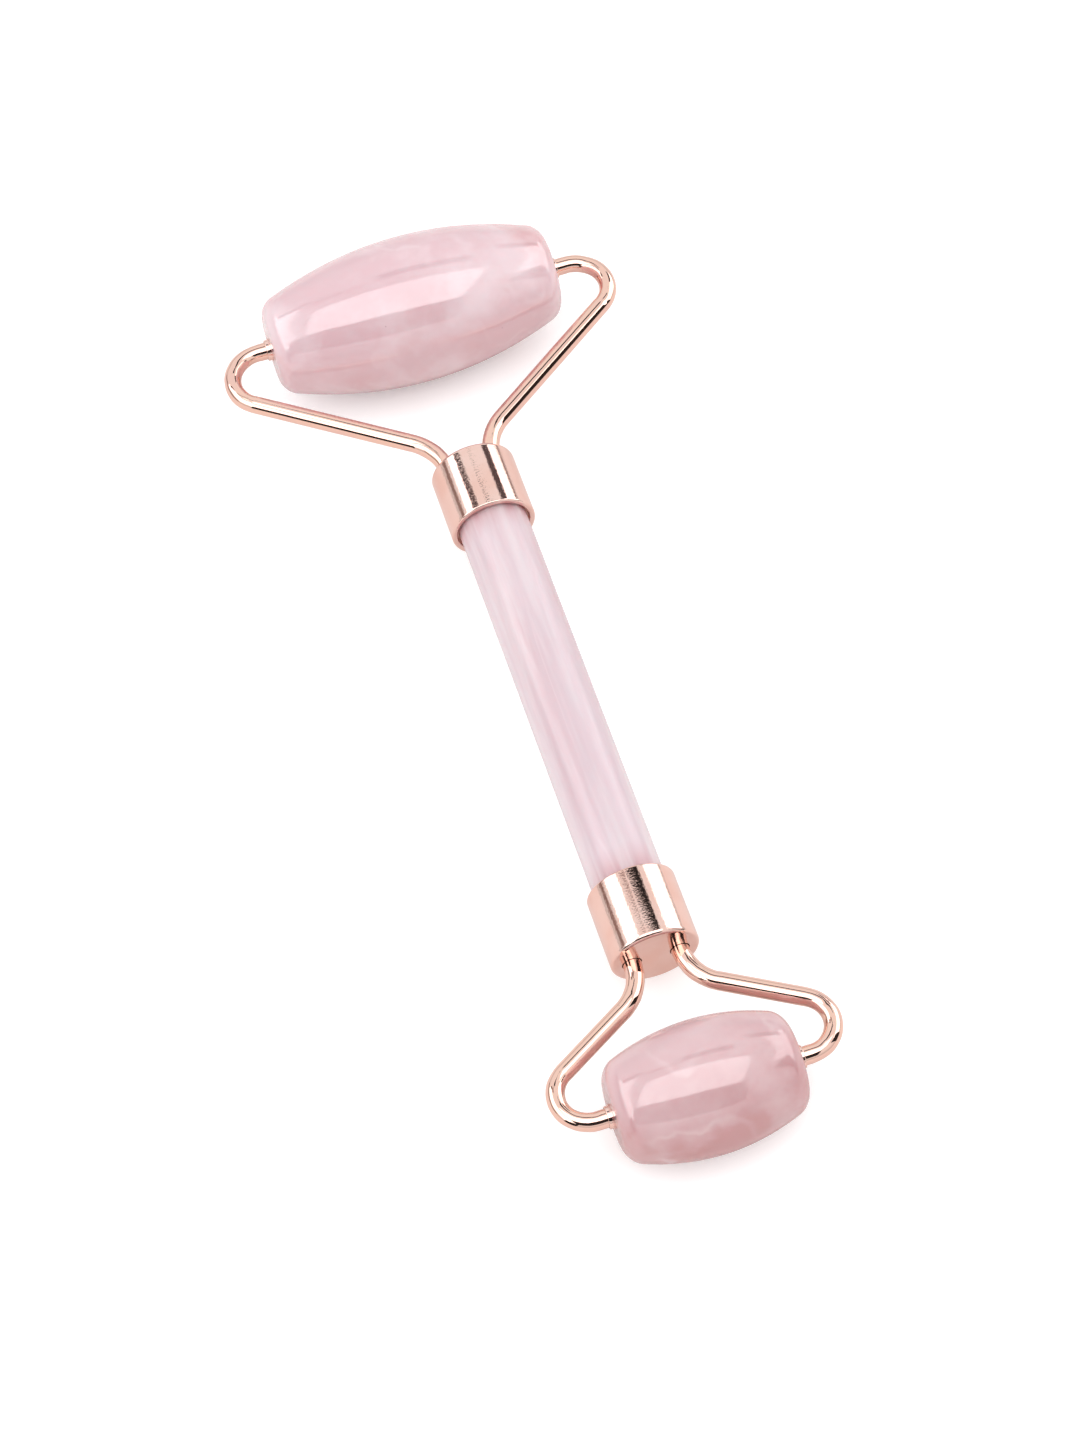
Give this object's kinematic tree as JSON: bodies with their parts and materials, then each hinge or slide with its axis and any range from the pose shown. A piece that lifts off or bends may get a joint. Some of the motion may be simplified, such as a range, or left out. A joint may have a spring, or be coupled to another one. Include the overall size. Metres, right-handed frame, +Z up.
{
  "type": "double-ended stone face roller",
  "caption": "Double-ended face roller: a large and a small barrel of pink quartz spin on bent metal wire frames at the two ends of a round stone handle.",
  "frame": {"origin": "on the table under the middle of the tool, which lies on its two rollers: the centre of the bounding box's underside", "axes": "+Y along the handle from the small roller to the large one, +X along both roller axes, +Z up from the table"},
  "size_m": [0.0558, 0.1434, 0.0204],
  "materials": {
    "roller_quartz": "polished, slightly translucent, cloudy pink with white veils",
    "handle_quartz": "polished, slightly translucent, pale lilac pink with lengthwise streaks",
    "rose_gold": "mirror-polished rose gold plating",
    "rose_gold_wire": "polished rose gold plating on drawn wire",
    "clear_glue": "cured clear glue, slightly amber"
  },
  "bodies": {
    "handle": {"handle_stone": "handle_quartz", "large_ferrule": "rose_gold", "small_ferrule": "rose_gold", "large_wire_frame": "rose_gold_wire", "small_wire_frame": "rose_gold_wire", "large_end_glue": "clear_glue", "small_end_glue": "clear_glue"},
    "large_roller": {"large_roller_stone": "roller_quartz", "large_left_sleeve": "rose_gold", "large_right_sleeve": "rose_gold"},
    "small_roller": {"small_roller_stone": "roller_quartz", "small_left_sleeve": "rose_gold", "small_right_sleeve": "rose_gold"}
  },
  "joints": [
    {"name": "large_roller_spin", "type": "hinge", "parent": "handle", "child": "large_roller", "pos_m": [0, 0.06149, 0.0102], "axis": [1, 0, 0], "continuous": true},
    {"name": "small_roller_spin", "type": "hinge", "parent": "handle", "child": "small_roller", "pos_m": [0, -0.06329, 0.0084], "axis": [1, 0, 0], "continuous": true}
  ]
}
